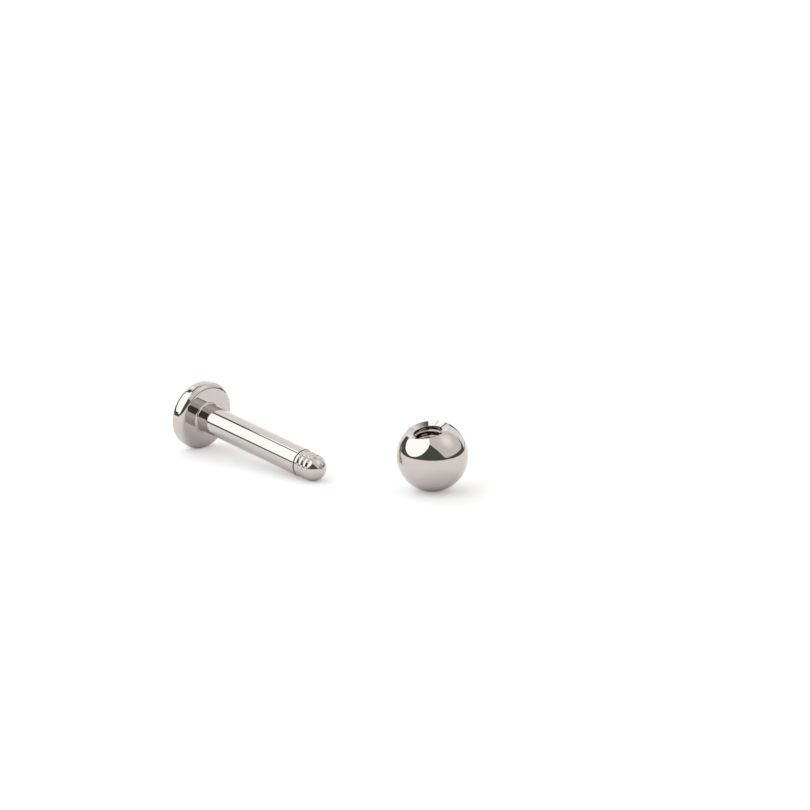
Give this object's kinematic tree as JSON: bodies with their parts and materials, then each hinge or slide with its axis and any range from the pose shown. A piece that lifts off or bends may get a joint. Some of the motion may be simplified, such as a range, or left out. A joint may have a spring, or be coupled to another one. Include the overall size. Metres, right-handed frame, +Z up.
{
  "type": "labret stud",
  "caption": "Labret stud taken apart: a round disc with a straight bar and a threaded, domed end, and the screw-on ball lying beside it.",
  "frame": {"origin": "middle of the two pieces seen from above, on the surface that they lie on", "axes": "+X from the disc towards the bar's tip and the ball, +Z up"},
  "size_m": [0.0182, 0.0074, 0.0039],
  "materials": {
    "polished_steel": "mirror polished"
  },
  "bodies": {
    "root": {"labret_post": "polished_steel", "ball_end": "polished_steel"}
  },
  "joints": []
}
